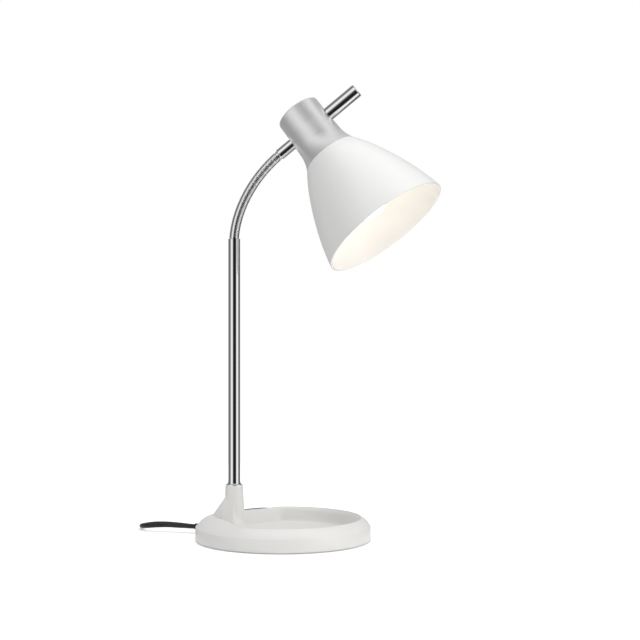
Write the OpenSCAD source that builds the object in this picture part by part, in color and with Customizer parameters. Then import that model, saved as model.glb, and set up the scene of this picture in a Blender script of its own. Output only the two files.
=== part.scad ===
// Desk lamp: round tray base, chrome post, ribbed gooseneck, swivelling bell shade.
// Millimetres. +Z is up, +X is the way the head reaches, and the origin is the
// centre of the underside of the base.

/* [Base] */
// Outer diameter of the round base
base_d = 175; // [150:1:220]
// Height of the upright part of the base's side
base_side_h = 13.6; // [10:0.2:20]
// Height of the tray's rim
rim_h = 22.7; // [18:0.1:30]
// Width of the sloping band between the side and the rim
rim_band_w = 9.6; // [6:0.2:14]
// Height of the tray's floor
tray_floor_h = 7; // [6.4:0.1:9]
// Draft of the tray's wall, inwards over its whole height
tray_draft = 3.4; // [2:0.2:6]
// Wall of the base moulding
base_wall = 2.2; // [1.8:0.1:3]
// Thickness of the foot pad
pad_t = 0.9; // [0.6:0.1:2]
// Inset of the foot pad from the base's side
pad_inset = 11.5; // [10:0.5:25]
// Thickness of the bottom plate
plate_t = 0.8; // [0.6:0.1:1.2]
// Height of the raised ring on the ballast
ballast_ring_h = 9.6; // [6:0.2:10.5]

/* [Post] */
// Distance of the post behind the base's centre
post_x = 50.8; // [44:0.2:56]
// Outer diameter of the post
post_d = 12; // [10:0.5:16]
// Wall of the post
post_wall = 1; // [0.8:0.1:1.5]
// Height of the top of the post
post_top_h = 301.3; // [200:0.1:420]
// Height of the moulded socket that holds the post
socket_h = 53.8; // [45:0.1:70]
// Outer diameter of the socket at its mouth
socket_top_d = 17.6; // [17:0.1:24]
// Outer diameter of the socket where its foot begins
socket_foot_d = 20.8; // [20:0.1:28]
// Radius of the fillet round the socket's foot
socket_fillet = 14; // [10:0.5:16]
// Depth to which the post goes into the socket
post_depth = 28.6; // [20:0.2:30]
// Height at which the fin leaves the socket
fin_h = 40; // [34:0.5:46]

/* [Gooseneck] */
// Outer diameter over the gooseneck's ribs
neck_d = 9.8; // [9.6:0.1:10.4]
// Length of one gooseneck link, from joint to joint
link_l = 7.4; // [7.2:0.1:8.4]
// Depth of the grooves between the ribs
rib_depth = 0.3; // [0.2:0.05:0.45]
// Diameter of the ball at the end of a link
ball_d = 7.8; // [7.6:0.05:7.8]
// Bore of the gooseneck
neck_bore_d = 5.2; // [4.9:0.1:5.6]
// Angle that the gooseneck turns through, from upright to the head's bar
neck_turn = 51.84; // [20:0.5:70]
// Share-out of that turn: 1 is even, less bends the foot more
neck_spread = 0.77; // [0.6:0.01:1.2]

/* [Head] */
// Distance from the gooseneck's end to the head's axis, along the bar
bar_reach = 41.5; // [38:0.1:48]
// Diameter of the ferrule at the gooseneck's end
ferrule_d = 11.4; // [11.2:0.1:13]
// Turn of the head about the bar at rest
head_turn = -6.9; // [-20:0.1:20]
// Diameter of the cap at its top
cap_d = 45.8; // [44:0.2:48]
// Height of the cap above the bar's axis
cap_top = 22; // [19:0.2:28]
// Depth of the cap below the bar's axis, to the joint with the shade
cap_drop = 35.6; // [33:0.2:42]
// Diameter of the cap where it meets the shade
cap_foot_d = 58; // [57:0.2:64]
// Wall of the cap
cap_wall = 1.6; // [1.2:0.1:2]
// Length of the handle beyond the bar's axis
handle_l = 60; // [45:1:80]
// Diameter of the handle
handle_d = 13.7; // [12:0.1:16]

/* [Shade] */
// Length of the shade along its axis
shade_l = 92.6; // [80:0.2:110]
// Diameter of the shade's opening
shade_d = 132; // [110:1:160]
// Thickness of the shade
shade_t = 1; // [0.8:0.1:2]
// Slope of the shade's side at its top, from its axis
shade_top_slope = 37; // [20:1:45]
// Slope of the shade's side at its rim, from its axis
shade_rim_slope = 10; // [0:1:20]

/* [Bulb] */
// Diameter of the bulb's globe
bulb_d = 45; // [40:0.5:60]
// Length of the bulb over all
bulb_l = 78; // [72:0.5:110]
// Diameter of the bulb's screw cap
screw_cap_d = 26; // [25.8:0.1:26.2]

/* [Fits] */
// Clearance on the radius of a running fit
run_gap = 0.05; // [0.02:0.01:0.1]
// Gap between pieces that lie against each other
seat_gap = 0.1; // [0.05:0.01:0.2]

/* [Hidden] */
links = 13;
ribs_per_link = 4;
base_r = base_d / 2;
rim_r = base_r - rim_band_w;
post_r = post_d / 2;
post_bore_r = post_r - post_wall;
shell_bottom = pad_t - seat_gap;
plate_top = pad_t + plate_t;
floor_under = tray_floor_h - base_wall;
ballast_z = plate_top + seat_gap;
ballast_top = floor_under - seat_gap;
cavity_r = base_r - base_wall;
bulb_r = bulb_d / 2;

// The base moulding's sloping band: a curve from the side up to the rim.
band_bulge = 1.1;
rim_round = 0.8;

// The lead comes out of the rim a little to one side of the post.
cord_d = 4.6;
cord_r = cord_d / 2;
cord_exit_turn = 168;
cord_exit_h = 7.1;
bush_reach = 13;
bush_inside = 8;
bush_r = 4;
bush_tip_r = 3;

// Threads, nuts and washers.
thread_r = 4.95;
nut_af = 14;
nut_t = 3.6;
washer_r = 8;
washer_t = 1;
pocket_r = 8.5;
ledge_t = 3;

post_foot_z = socket_h - post_depth;
ledge_under = post_foot_z - seat_gap - ledge_t;
nipple_foot_z = ledge_under - washer_t - nut_t - 3 * seat_gap;

white = [0.93, 0.93, 0.92];
steel = [0.72, 0.73, 0.75];
chrome = [0.82, 0.83, 0.85];
black = [0.06, 0.06, 0.06];
iron = [0.28, 0.28, 0.30];
silver = [0.70, 0.70, 0.71];
brass = [0.78, 0.62, 0.32];

LINK_NAMES = [for (i = [1:links]) str("neck_link_", i < 10 ? "0" : "", i)];

// ---- shared shapes ----

// Points of an arc, from one angle to another.
function arc(c, r, a0, a1, n) =
    [for (i = [0:n]) let (a = a0 + (a1 - a0) * i / n) [c[0] + r * cos(a), c[1] + r * sin(a)]];

// A point of a cubic curve, and the direction square to it.
function cubic(p, s) =
    pow(1 - s, 3) * p[0] + 3 * s * pow(1 - s, 2) * p[1] + 3 * s * s * (1 - s) * p[2]
    + pow(s, 3) * p[3];
function cubic_dir(p, s) =
    let (d = pow(1 - s, 2) * (p[1] - p[0]) + 2 * s * (1 - s) * (p[2] - p[1])
        + s * s * (p[3] - p[2]))
    d / norm(d);

module tube(r_out, r_in, z0, z1) {
    translate([0, 0, z0])
        difference() {
            cylinder(r = r_out, h = z1 - z0, $fn = 96);
            translate([0, 0, -1])
                cylinder(r = r_in, h = z1 - z0 + 2, $fn = 96);
        }
}

module rod(r, z0, z1) {
    translate([0, 0, z0])
        cylinder(r = r, h = z1 - z0, $fn = 96);
}

// A hexagon nut with a round bore.
module hex_nut(af, bore_r, z0, t) {
    difference() {
        translate([0, 0, z0])
            cylinder(r = af / sqrt(3), h = t, $fn = 6);
        rod(bore_r, z0 - 1, z0 + t + 1);
    }
}

// A pan-head screw that points up, with a cross recess in its head.
module screw(r, l, head_r, head_h) {
    difference() {
        union() {
            rod(r, 0, l);
            rod(head_r, -head_h, 0);
        }
        for (a = [0, 90])
            rotate([0, 0, a])
                translate([-head_r * 0.6, -head_r * 0.13, -head_h - 1])
                    cube([head_r * 1.2, head_r * 0.26, 1 + head_h * 0.6]);
    }
}

// ---- base ----

screw_r = 1.45;
screw_head_r = 2.8;
screw_head_h = 0.6;
screw_l = 8;
screw_boss_r = 3.1;
screw_ring_r = cavity_r - screw_boss_r - 0.6;
screw_turns = [45, 135, 225, 315];

clamp_t = 1.8;
clamp_w = 6;
clamp_l = 17;
clamp_along = 15;
clamp_screw_out = 6;
clamp_z = cord_exit_h - cord_d / 2 - seat_gap - clamp_t;
exit_xy = [rim_r * cos(cord_exit_turn), rim_r * sin(cord_exit_turn)];
lead_turn = atan2(exit_xy[1], exit_xy[0] + post_x);
lead_run = norm([exit_xy[0] + post_x, exit_xy[1]]);

module round_screws(r) {
    for (a = screw_turns)
        rotate([0, 0, a])
            translate([r, 0, 0])
                children();
}

module at_post() {
    translate([-post_x, 0, 0])
        children();
}

// Along the lead's way from the post to the rim, with +X pointing to the rim.
module at_lead() {
    at_post()
        rotate([0, 0, lead_turn])
            children();
}

// At the cord's exit, with +Z pointing out through the rim.
module at_exit() {
    rotate([0, 0, cord_exit_turn])
        translate([base_r, 0, cord_exit_h])
            rotate([0, 90, 0])
                children();
}

function band_points() =
    let (a = [base_r, base_side_h], b = [rim_r + rim_round, rim_h])
    [for (i = [0:8])
        let (s = i / 8)
        [a[0] + (b[0] - a[0]) * s + band_bulge * sin(180 * s) * 0.7,
         a[1] + (b[1] - a[1]) * s + band_bulge * sin(180 * s) * 0.7]];

module shell_outline() {
    tray_r = rim_r - tray_draft;
    polygon(concat(
        [[0, shell_bottom], [base_r - 1.2, shell_bottom]],
        arc([base_r - 1.2, shell_bottom + 1.2], 1.2, -90, 0, 5),
        band_points(),
        arc([rim_r + rim_round * 0.6, rim_h - rim_round], rim_round, 80, 166, 4),
        [[tray_r + 0.55, tray_floor_h + 2.4]],
        arc([tray_r - 2, tray_floor_h + 2.4], 2.4, 0, -90, 5),
        [[0, tray_floor_h]]));
}

module shell_hollow() {
    inner_r = rim_r - tray_draft + base_wall;
    polygon([
        [0, shell_bottom - 1],
        [cavity_r, shell_bottom - 1],
        [cavity_r, base_side_h - 0.8],
        [rim_r + base_wall + 1, rim_h - base_wall - 2.4],
        [rim_r + base_wall - 0.1, rim_h - base_wall - 2.4],
        [inner_r, floor_under],
        [0, floor_under]]);
}

// The socket's outside: a tapered tube whose foot sweeps into the tray's floor.
module socket_outside() {
    top_r = socket_top_d / 2;
    foot_r = socket_foot_d / 2;
    foot_z = tray_floor_h + socket_fillet;
    at_post()
        rotate_extrude($fn = 96)
            polygon(concat(
                [[0, floor_under + 0.2], [foot_r + socket_fillet, floor_under + 0.2],
                 [foot_r + socket_fillet, tray_floor_h]],
                arc([foot_r + socket_fillet, foot_z], socket_fillet, -90, -180, 10),
                [[top_r, socket_h - 0.6], [top_r - 0.6, socket_h], [0, socket_h]]));
}

// Deck at the rim's height on each side of the fin: there the tray's edge leaves
// its circle and runs straight to the fin's foot.
module deck(side) {
    bearing = 35.6;
    half_angle = 38;
    edge = rim_r * cos(half_angle);
    rotate([0, 0, 180 + side * bearing])
        intersection() {
            rod(rim_r - 0.5, tray_floor_h - 1, rim_h - 0.5);
            translate([edge, -rim_r, 0])
                cube([rim_r, 2 * rim_r, rim_h]);
        }
}

// The fin behind the socket: a ridge down to the rim, with sloping flanks, and a
// low hump over the lead's way.
module fin() {
    ridge_r = 5.5;
    ridge_back = 73.8 - ridge_r;
    flank_h = 24;
    flank_spread = 8;
    hump_r = 4.2;
    hump_h = cord_exit_h + cord_r + 1 + base_wall * 0.7;
    foot_z = tray_floor_h - 1;
    hull() {
        at_post()
            rod(socket_top_d / 2 + 0.7, foot_z, fin_h);
        translate([-ridge_back, 0, foot_z])
            cylinder(r = ridge_r, h = rim_h - foot_z, $fn = 48);
    }
    hull() {
        at_post()
            translate([0, 0, foot_z])
                cylinder(r1 = socket_foot_d / 2 + flank_spread, r2 = socket_foot_d / 2 - 0.4,
                         h = flank_h - foot_z, $fn = 48);
        translate([-ridge_back, 0, foot_z])
            cylinder(r1 = ridge_r + flank_spread - 3, r2 = ridge_r, h = rim_h - 1 - foot_z,
                     $fn = 48);
    }
    hull()
        for (x = [6, lead_run - 4])
            at_lead()
                translate([x, 0, foot_z])
                    cylinder(r1 = hump_r + 3.5, r2 = hump_r, h = hump_h - foot_z, $fn = 32);
}

module base_shell() {
    color(white)
        difference() {
            union() {
                difference() {
                    union() {
                        rotate_extrude($fn = 180)
                            shell_outline();
                        fin();
                        deck(-1);
                        deck(1);
                    }
                    rotate_extrude($fn = 180)
                        shell_hollow();
                }
                socket_outside();
                round_screws(screw_ring_r)
                    rod(screw_boss_r, plate_top + seat_gap, base_side_h - 1);
            }
            at_post() {
                rod(post_r + run_gap, post_foot_z - seat_gap, socket_h + 1);
                rod(thread_r + 0.15, ledge_under - 1, socket_h);
                rod(pocket_r, 0, ledge_under);
            }
            // the lead's way, and the holes for the bush and the clamp's screws
            at_lead()
                translate([0, -cord_d / 2 - 1, 0])
                    cube([lead_run + 1, cord_d + 2, cord_exit_h + cord_d / 2 + 1]);
            at_exit()
                rod(bush_r + run_gap, -base_wall - 4, 1);
            at_lead()
                translate([clamp_along, 0, 0])
                    for (s = [-1, 1])
                        translate([0, s * clamp_screw_out, 0])
                            rod(screw_r + run_gap, 0, tray_floor_h + 0.9);
            round_screws(screw_ring_r)
                rod(screw_r + run_gap, 0, plate_top + screw_l + 0.5);
        }
}

// Cast-iron ballast: a disc under the tray and a ring inside the rim.
module ballast() {
    ring_r = cavity_r - 0.4;
    ring_top = ballast_z + ballast_ring_h;
    wall_top = rim_r + base_wall + 0.5;
    wall_foot = rim_r - tray_draft + base_wall + 0.5;
    color(iron)
        difference() {
            rotate_extrude($fn = 180)
                polygon([
                    [0, ballast_z], [ring_r, ballast_z], [ring_r, ring_top],
                    [wall_top - 1.2, ring_top], [wall_foot, ballast_top], [0, ballast_top]]);
            at_post()
                rod(pocket_r + 1.5, 0, 30);
            at_lead()
                translate([0, -clamp_l / 2 - 1, 0])
                    cube([lead_run + 16, clamp_l + 2, 30]);
            round_screws(screw_ring_r)
                rod(screw_boss_r + 0.5, 0, 30);
        }
}

module base_plate() {
    color(steel)
        difference() {
            rod(cavity_r - 0.3, pad_t, plate_top);
            round_screws(screw_ring_r)
                rod(screw_r + 0.2, 0, 5);
        }
}

module foot_pad() {
    color(black)
        rod(base_d / 2 - pad_inset, 0, pad_t - 0.02);
}

module base_screws() {
    color(steel)
        round_screws(screw_ring_r)
            translate([0, 0, pad_t - 0.02])
                screw(screw_r, screw_l, screw_head_r, screw_head_h);
}

// Tapered bush with a head inside the wall and slots round its tail.
module cord_bush() {
    groove = base_wall + 0.4;
    color(black)
        at_exit()
            difference() {
                rotate_extrude($fn = 64)
                    polygon([
                        [0, -bush_inside], [bush_r + 1.2, -bush_inside],
                        [bush_r + 1.2, -groove - 0.3], [bush_r, -groove - 0.3],
                        [bush_r, 1.2], [bush_r + 0.5, 1.2], [bush_r + 0.5, 2.2],
                        [bush_r - 0.2, 3], [bush_tip_r, bush_reach], [0, bush_reach]]);
                rod(cord_d / 2 + run_gap, -bush_inside - 1, bush_reach + 1);
                for (i = [0:2])
                    for (s = [0, 1])
                        rotate([0, 0, 90 * s])
                            for (m = [0, 1])
                                rotate([0, 0, 180 * m])
                                    translate([cord_d / 2 + 0.3, -1.6, 4 + 2.4 * i + 1.2 * s])
                                        cube([5, 3.2, 0.7]);
            }
}

module cord_clamp() {
    color(black)
        at_lead()
            translate([clamp_along, 0, clamp_z])
                difference() {
                    translate([-clamp_w / 2, -clamp_l / 2, 0])
                        cube([clamp_w, clamp_l, clamp_t]);
                    for (s = [-1, 1])
                        translate([0, s * clamp_screw_out, 0])
                            rod(screw_r + 0.15, -1, clamp_t + 1);
                }
}

module clamp_screws() {
    color(steel)
        at_lead()
            translate([clamp_along, 0, clamp_z - 0.05])
                for (s = [-1, 1])
                    translate([0, s * clamp_screw_out, 0])
                        screw(screw_r, tray_floor_h + 0.7 - clamp_z, 2.3, 0.9);
}

// ---- post ----

module post() {
    color(chrome)
        at_post()
            tube(post_r, post_bore_r, post_foot_z, post_top_h);
}

// Flared chrome collar where the post goes into the socket.
module post_collar() {
    collar_r = socket_top_d / 2 - 0.6;
    collar_h = 3;
    color(chrome)
        at_post()
            rotate_extrude($fn = 96)
                polygon(concat(
                    [[post_r + run_gap, socket_h], [collar_r, socket_h], [collar_r, socket_h + 0.6]],
                    arc([post_r + 0.25 + collar_h, socket_h + collar_h + 0.1], collar_h, -120, -180, 6),
                    [[post_r + run_gap, socket_h + collar_h + 0.1]]));
}

module post_nipple() {
    color(steel)
        at_post()
            tube(thread_r, cord_d / 2 + 0.5, nipple_foot_z, post_foot_z + 16);
}

module post_washer() {
    color(steel)
        at_post()
            tube(washer_r, thread_r + 0.2, ledge_under - washer_t - seat_gap,
                 ledge_under - seat_gap);
}

module post_nut() {
    color(steel)
        at_post()
            hex_nut(nut_af, thread_r + run_gap, ledge_under - washer_t - nut_t - 2 * seat_gap,
                    nut_t);
}

// The lead from the bush, round the corner under the socket and up the post.
module lead_in_base() {
    bend_r = 7.5;
    corner_z = cord_exit_h + bend_r;
    along = [cos(lead_turn), sin(lead_turn)];
    points = concat(
        [[-post_x, 0, plug_top_z], [-post_x, 0, corner_z + 8]],
        [for (a = [0:18:90])
            let (x = bend_r * (1 - cos(a)))
            [-post_x + x * along[0], x * along[1], corner_z - bend_r * sin(a)]],
        [[-post_x + (lead_run - 3) * along[0], (lead_run - 3) * along[1], cord_exit_h]],
        [out_of_base(3 - rim_band_w), out_of_base(bush_reach - 0.3)]);
    color(black)
        swept_tube(points, cord_r, 12, [-along[1], along[0], 0]);
}

// ---- gooseneck ----

neck_r = neck_d / 2;
ball_r = ball_d / 2;
cup_r = ball_r + run_gap;
neck_bore_r = neck_bore_d / 2;
lip = 1;
shoulder_drop = 1.9;
neck_foot_z = post_top_h + 1.3;
plug_top_z = neck_foot_z - 2.3;
rib_pitch = link_l / ribs_per_link;

// Heading of each link above the horizontal: 0 is the post, links + 1 the bar.
function heading(i) = 90 - neck_turn * pow(i / (links + 1), neck_spread);
// Joint i, at the top of link i, in the XZ plane.
function joint_at(i) =
    i == 0 ? [-post_x, neck_foot_z]
    : joint_at(i - 1) + link_l * [cos(heading(i)), sin(heading(i))];

module at_link(i) {
    p = joint_at(i - 1);
    translate([p[0], 0, p[1]])
        rotate([0, 90 - heading(i), 0])
            children();
}

// Ball with its bore, from the shoulder below it.
function ball_points(z) =
    arc([0, z], ball_r, -asin(shoulder_drop / ball_r), acos(neck_bore_r / ball_r), 12);
// Cup that closes over the ball of the piece below.
function cup_points() =
    arc([0, 0], cup_r, acos(neck_bore_r / cup_r), -asin(lip / cup_r), 12);

function rib_points(z) =
    [[neck_r - rib_depth, z - 0.7], [neck_r - 0.12, z - 0.48], [neck_r, z - 0.2],
     [neck_r, z + 0.2], [neck_r - 0.12, z + 0.48], [neck_r - rib_depth, z + 0.7]];

module ribbed_link() {
    top = link_l - shoulder_drop;
    first = (top - lip) / 2 - 1.5 * rib_pitch;
    rotate_extrude($fn = 64)
        polygon(concat(
            [[neck_r - 0.18, -lip], [neck_r, -lip + 0.27], [neck_r, first + 0.2],
             [neck_r - 0.12, first + 0.48], [neck_r - rib_depth, first + 0.7]],
            rib_points(first + rib_pitch),
            rib_points(first + 2 * rib_pitch),
            [[neck_r - rib_depth, first + 3 * rib_pitch - 0.7],
             [neck_r - 0.12, first + 3 * rib_pitch - 0.48],
             [neck_r, first + 3 * rib_pitch - 0.2], [neck_r, top - 0.27],
             [neck_r - 0.18, top]],
            ball_points(link_l),
            cup_points()));
}

module neck_link(i) {
    color(chrome)
        at_link(i)
            ribbed_link();
}

// Steel plug in the top of the post, with the first ball.
module neck_socket() {
    plug_l = 14;
    color(chrome)
        at_post()
            rotate_extrude($fn = 64)
                polygon(concat(
                    [[neck_bore_r, post_top_h - plug_l], [post_bore_r - run_gap, post_top_h - plug_l],
                     [post_bore_r - run_gap, plug_top_z]],
                    ball_points(neck_foot_z)));
}

// ---- bar through the head ----

module at_bar() {
    p = joint_at(links);
    translate([p[0], 0, p[1]])
        rotate([0, neck_turn, 0])
            children();
}

// On the head's own axis: +Z runs down into the shade, -X out along the handle.
module at_head() {
    at_bar()
        translate([0, 0, bar_reach])
            rotate([0, 0, head_turn])
                rotate([0, 90, 0])
                    children();
}

// On the bar's axis through the head: +Z runs out along the handle.
module on_bar() {
    rotate([0, -90, 0])
        children();
}

ferrule_r = ferrule_d / 2;
cap_r = cap_d / 2;
pad_face = cap_r - 3.3;
flange_t = 1.5;
bush_wall = 1.2;
bush_flange_r = ferrule_r + bush_wall + 1;
ferrule_end = bar_reach - pad_face - run_gap;
bar_nut_t = 5;

module neck_ferrule() {
    thread_end = bar_reach - pad_face + flange_t + washer_t + bar_nut_t + 1.5;
    color(chrome)
        at_bar()
            rotate_extrude($fn = 96)
                polygon(concat(
                    [[neck_r - 0.38, -lip], [neck_r - 0.2, -lip + 0.27], [neck_r - 0.2, 0.8],
                     [ferrule_r - 0.3, 1.1], [ferrule_r, 1.6], [ferrule_r, ferrule_end],
                     [thread_r - 0.05, ferrule_end], [thread_r - 0.05, thread_end],
                     [neck_bore_r, thread_end]],
                    cup_points()));
}

module friction_washer() {
    z = bar_reach - pad_face + flange_t + seat_gap;
    color(steel)
        at_bar()
            tube(8.8, thread_r + 0.05, z, z + washer_t);
}

module pivot_nut() {
    color(steel)
        at_bar()
            hex_nut(nut_af, thread_r, bar_reach - pad_face + flange_t + washer_t + 2 * seat_gap,
                    bar_nut_t);
}

module lead_in_ferrule() {
    color(black)
        at_bar()
            rod(cord_d / 2, ball_r + 0.3, bar_reach - pad_face + flange_t + washer_t + bar_nut_t + 1.5);
}

// ---- head ----

flare_r = 44;
flare_turn = 28;
flare_z = cap_drop - flare_r * sin(flare_turn);
flare_start_r = cap_foot_d / 2 - flare_r * (1 - cos(flare_turn));
hole_r = 20;
flange_z = cap_drop - 2.6;
pad_r = 10.5;

module cap_outline() {
    polygon(concat(
        [[0, -cap_top], [cap_r - 1.3, -cap_top]],
        arc([cap_r - 1.3, -cap_top + 1.3], 1.3, -90, 0, 5),
        [[cap_r + 0.15, 0], [flare_start_r, flare_z]],
        arc([flare_start_r + flare_r, flare_z], flare_r, 180, 180 - flare_turn, 10),
        [[0, cap_drop]]));
}

// The cap's inside, down to the flange on which the lampholder's shoulder rests.
module cap_hollow() {
    polygon([
        [0, -cap_top + cap_wall], [cap_r - cap_wall, -cap_top + cap_wall],
        [cap_r - cap_wall, 0], [flare_start_r - cap_wall, flare_z],
        [cap_foot_d / 2 - cap_wall - 3.4, flange_z - 1.6],
        [0, flange_z - 1.6]]);
}

module head_cap() {
    color(silver)
        at_head()
            difference() {
                union() {
                    difference() {
                        rotate_extrude($fn = 120)
                            cap_outline();
                        rotate_extrude($fn = 120)
                            cap_hollow();
                    }
                    // flat pads inside, round the bar's two holes
                    for (s = [-1, 1])
                        rotate([0, s * 90, 0])
                            rod(pad_r, pad_face, cap_r - cap_wall / 2);
                }
                rod(hole_r + 0.2, 0, cap_drop + 1);
                rotate([0, 90, 0])
                    rod(ferrule_r + run_gap + bush_wall + run_gap, 0, cap_r + 5);
                rotate([0, -90, 0])
                    rod(thread_r + 0.15, 0, cap_r + 5);
            }
}

// Flanged nylon bush in which the ferrule turns.
module pivot_bush() {
    out_r = ferrule_r + run_gap + bush_wall;
    color(black)
        at_head()
            rotate([0, 90, 0])
                difference() {
                    union() {
                        rod(out_r, pad_face - flange_t, cap_r - 0.6);
                        rod(bush_flange_r, pad_face - flange_t, pad_face - 0.02);
                    }
                    rod(ferrule_r + run_gap, pad_face, cap_r + 5);
                    rod(thread_r, 0, cap_r + 5);
                }
}

handle_screw_r = 2;
handle_screw_l = 18;

module handle_rod() {
    seat = cap_r + 0.2;
    color(chrome)
        at_head()
            on_bar()
                difference() {
                    rotate_extrude($fn = 96)
                        polygon([
                            [0, pad_face + 0.3], [thread_r, pad_face + 0.3], [thread_r, seat],
                            [handle_d / 2, seat], [handle_d / 2, handle_l - 0.6],
                            [handle_d / 2 - 0.6, handle_l], [0, handle_l]]);
                    rod(handle_screw_r + run_gap, 0, pad_face + handle_screw_l + 1);
                }
}

module handle_washer() {
    color(steel)
        at_head()
            on_bar()
                tube(washer_r, handle_screw_r + 0.2, pad_face - washer_t - 0.02, pad_face - 0.02);
}

module handle_screw() {
    color(steel)
        at_head()
            on_bar()
                translate([0, 0, pad_face - washer_t - seat_gap])
                    screw(handle_screw_r, handle_screw_l, 3.8, 2.6);
}

// Cubic outline of the shade's outside, as [radius, depth along the axis].
shade_curve = [
    [cap_foot_d / 2, cap_drop + seat_gap],
    [cap_foot_d / 2 + 19 * sin(shade_top_slope), cap_drop + 19 * cos(shade_top_slope)],
    [shade_d / 2 - 36 * sin(shade_rim_slope), cap_drop + shade_l - 36 * cos(shade_rim_slope)],
    [shade_d / 2, cap_drop + shade_l]];

module shade() {
    steps = 24;
    outer = [for (i = [0:steps]) cubic(shade_curve, i / steps)];
    inner = [for (i = [steps:-1:1])
        let (d = cubic_dir(shade_curve, i / steps))
        cubic(shade_curve, i / steps) + shade_t * [-d[1], d[0]]];
    top = cap_drop + seat_gap;
    color(white)
        at_head()
            rotate_extrude($fn = 180)
                polygon(concat(
                    [[hole_r + 0.3, top]],
                    outer,
                    inner,
                    [[cap_foot_d / 2 - 1, top + shade_t], [hole_r + 0.3, top + shade_t]]));
}

// ---- lampholder ----

holder_top = 9.6;
holder_mouth = 61;
skirt_wall = 1.8;
shoulder_z = flange_z - 1.6;
bulb_tip = cap_drop + 77;
bulb_foot = bulb_tip - bulb_l;
screw_cap_r = screw_cap_d / 2;
sleeve_r = screw_cap_r + 0.4;
core_end = bulb_foot - 1.4;

module lampholder_body() {
    out_r = hole_r - 0.1;
    color(white)
        at_head()
            rotate_extrude($fn = 96)
                polygon([
                    [3, holder_top], [out_r - 4, holder_top], [out_r, holder_top + 4],
                    [out_r, shoulder_z - 2.6], [out_r + 2.6, shoulder_z - 2.6],
                    [out_r + 2.6, shoulder_z - 0.05], [out_r, shoulder_z - 0.05],
                    [out_r, holder_mouth - 1], [out_r - 1, holder_mouth],
                    [sleeve_r + 0.3, holder_mouth], [sleeve_r + 0.3, holder_mouth - 1.6],
                    [out_r - skirt_wall, holder_mouth - 3.4],
                    [out_r - skirt_wall, holder_top + 5], [out_r - 5, holder_top + 2],
                    [3, holder_top + 2]]);
}

// Moulded core that carries the contacts.
module lampholder_core() {
    core_r = hole_r - 0.1 - skirt_wall - 0.1;
    color([0.85, 0.83, 0.78])
        at_head()
            difference() {
                rotate_extrude($fn = 96)
                    polygon([
                        [0, holder_top + 5.1], [core_r - 0.2, holder_top + 5.1],
                        [core_r, holder_top + 6], [core_r, core_end + 3],
                        [sleeve_r + 0.75, core_end + 3], [sleeve_r + 0.75, core_end],
                        [0, core_end]]);
                rod(2.2, holder_top, core_end + 1);
            }
}

module shade_ring() {
    z0 = cap_drop + seat_gap + shade_t + 0.05;
    rim = hole_r + 5;
    grip = hole_r + 2.4;
    color(white)
        at_head()
            difference() {
                rotate_extrude($fn = 96)
                    polygon([
                        [hole_r - 0.05, z0], [rim, z0], [rim, z0 + 1.4], [grip + 0.2, z0 + 2.2],
                        [grip, z0 + 6], [hole_r - 0.05, z0 + 6]]);
                for (a = [0:20:340])
                    rotate([0, 0, a])
                        translate([grip - 0.2, -0.5, z0 + 2.6])
                            cube([1, 1, 5]);
            }
}

module thread_sleeve() {
    color(steel)
        at_head()
            tube(sleeve_r + 0.6, sleeve_r, core_end + 0.05, holder_mouth - 4);
}

module centre_contact() {
    color(brass)
        at_head()
            union() {
                rod(1.6, holder_top + 8, core_end);
                rod(3.4, core_end + 0.03, bulb_foot - 0.08);
                rod(1.6, core_end - 1, core_end + 0.2);
            }
}

// ---- bulb ----

// Screw cap: a shell with rounded threads, and the contact on its end.
module bulb_cap() {
    shell_z = bulb_foot + 4;
    turns = 5;
    pitch = 3.6;
    color(brass)
        at_head()
            rotate_extrude($fn = 96)
                polygon(concat(
                    [[0, bulb_foot], [4, bulb_foot], [4.4, bulb_foot + 1],
                     [9.5, shell_z - 0.6], [screw_cap_r - 1.2, shell_z]],
                    [for (i = [0:turns * 6])
                        [screw_cap_r - 0.5 + 0.5 * cos(60 * i), shell_z + 0.8 + pitch * i / 6]],
                    [[screw_cap_r - 0.6, shell_z + 20.6], [screw_cap_r - 1.3, shell_z + 20.6],
                     [screw_cap_r - 1.3, shell_z + 4], [0, shell_z + 4]]));
}

// Frosted globe whose neck goes into the screw cap.
module bulb_globe() {
    glass_t = 0.8;
    globe_z = bulb_tip - bulb_r;
    neck_out = screw_cap_r - 1.35;
    neck_z = bulb_foot + 8.2;
    blend = 62;
    color([0.98, 0.96, 0.90])
        at_head()
            rotate_extrude($fn = 96)
                polygon(concat(
                    [[neck_out - glass_t, neck_z], [neck_out, neck_z],
                     [neck_out, bulb_foot + 26.5]],
                    arc([0, globe_z], bulb_r, -blend + 8, 90, 20),
                    arc([0, globe_z], bulb_r - glass_t, 90, -blend + 8, 20),
                    [[neck_out - glass_t, bulb_foot + 26.8]]));
}

// The lead from the end of the ferrule down into the lampholder.
module lead_in_head() {
    end_x = pad_face - flange_t - washer_t - bar_nut_t - 1.5 - 0.3;
    bend_r = end_x;
    color(black)
        at_head() {
            translate([bend_r, 0, bend_r])
                rotate([90, 0, 0])
                    rotate([0, 0, 180])
                        rotate_extrude(angle = 90, $fn = 64)
                            translate([bend_r, 0])
                                circle(r = cord_d / 2, $fn = 32);
            rod(cord_d / 2, bend_r, holder_top + 4.6);
        }
}

// ---- lead: out of the base, through the switch, coiled behind it, to the plug ----

floor_z = cord_r;
plug_h = 13.7;
plug_w = 35.3;
plug_l = 33;
plug_tail = 15;
plug_xy = [13.5, 110.5];
plug_turn = -78;
switch_xy = [-93, 114];
switch_turn = 102;
switch_l = 52;
switch_w = 16;
switch_h = 12;
coil_xy = [-46, 118];
coil_r = 35;
coil_pitch = 5.05;
tie_t = 0.4;
tie_w = 5;
coil_start = 72;
coil_sweep = 2460;

// Where the lead leaves the bush, on the line out of the base's side.
function out_of_base(reach) =
    [(base_r + reach) * cos(cord_exit_turn), (base_r + reach) * sin(cord_exit_turn), cord_exit_h];
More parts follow.
